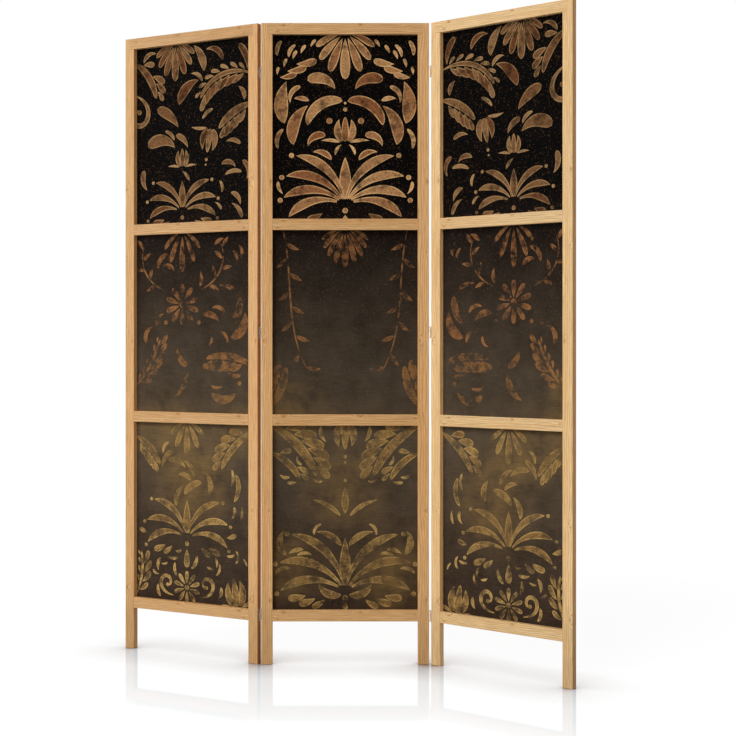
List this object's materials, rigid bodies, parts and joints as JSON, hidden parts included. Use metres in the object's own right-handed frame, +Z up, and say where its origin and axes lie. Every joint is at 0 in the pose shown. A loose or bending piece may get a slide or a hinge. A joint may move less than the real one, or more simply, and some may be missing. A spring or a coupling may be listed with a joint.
{
  "type": "japanese folding screen",
  "caption": "Folding room screen of hinged pine-framed panels, each with a thin printed board set in its back, standing in a zigzag on its legs.",
  "frame": {"origin": "on the floor, at the middle of the space that the three standing panels take", "axes": "+Z up, +X to the right along the middle panel, +Y from the printed front to the back"},
  "size_m": [1.2055, 0.5391, 1.72],
  "materials": {
    "pine": "planed, thin clear matt lacquer",
    "printed_board": "dark printed face on thin hardboard, satin",
    "beech_dowel": "raw turned beech",
    "steel_tack": "bright drawn steel",
    "nickel_hinge": "nickel plated pressed steel",
    "steel_pin": "bright drawn steel",
    "zinc_screw": "zinc plated steel"
  },
  "bodies": {
    "middle_panel": {"left_centre_hinge_fixed_leaf": "nickel_hinge", "left_centre_hinge_pin": "steel_pin", "left_lower_hinge_fixed_leaf": "nickel_hinge", "left_lower_hinge_pin": "steel_pin", "left_upper_hinge_fixed_leaf": "nickel_hinge", "left_upper_hinge_pin": "steel_pin", "middle_panel_board": "printed_board", "middle_panel_board_tacks": "steel_tack", "middle_panel_bottom_rail": "pine", "middle_panel_hinge_screws": "zinc_screw", "middle_panel_left_stile": "pine", "middle_panel_lower_middle_rail": "pine", "middle_panel_rail_dowels": "beech_dowel", "middle_panel_right_stile": "pine", "middle_panel_top_rail": "pine", "middle_panel_upper_middle_rail": "pine", "right_centre_hinge_fixed_leaf": "nickel_hinge", "right_centre_hinge_pin": "steel_pin", "right_lower_hinge_fixed_leaf": "nickel_hinge", "right_lower_hinge_pin": "steel_pin", "right_upper_hinge_fixed_leaf": "nickel_hinge", "right_upper_hinge_pin": "steel_pin"},
    "left_panel": {"left_centre_hinge_swing_leaf": "nickel_hinge", "left_lower_hinge_swing_leaf": "nickel_hinge", "left_panel_board": "printed_board", "left_panel_board_tacks": "steel_tack", "left_panel_bottom_rail": "pine", "left_panel_hinge_screws": "zinc_screw", "left_panel_left_stile": "pine", "left_panel_lower_middle_rail": "pine", "left_panel_rail_dowels": "beech_dowel", "left_panel_right_stile": "pine", "left_panel_top_rail": "pine", "left_panel_upper_middle_rail": "pine", "left_upper_hinge_swing_leaf": "nickel_hinge"},
    "right_panel": {"right_centre_hinge_swing_leaf": "nickel_hinge", "right_lower_hinge_swing_leaf": "nickel_hinge", "right_panel_board": "printed_board", "right_panel_board_tacks": "steel_tack", "right_panel_bottom_rail": "pine", "right_panel_hinge_screws": "zinc_screw", "right_panel_left_stile": "pine", "right_panel_lower_middle_rail": "pine", "right_panel_rail_dowels": "beech_dowel", "right_panel_right_stile": "pine", "right_panel_top_rail": "pine", "right_panel_upper_middle_rail": "pine", "right_upper_hinge_swing_leaf": "nickel_hinge"}
  },
  "joints": [
    {"name": "left_fold", "type": "hinge", "parent": "middle_panel", "child": "left_panel", "pos_m": [-0.20367, 0.04591, 0.86], "axis": [0, 0, -1], "range_deg": [-32, 150]},
    {"name": "right_fold", "type": "hinge", "parent": "middle_panel", "child": "right_panel", "pos_m": [0.24938, 0.02591, 0.86], "axis": [0, 0, -1], "range_deg": [-51, 139]}
  ]
}
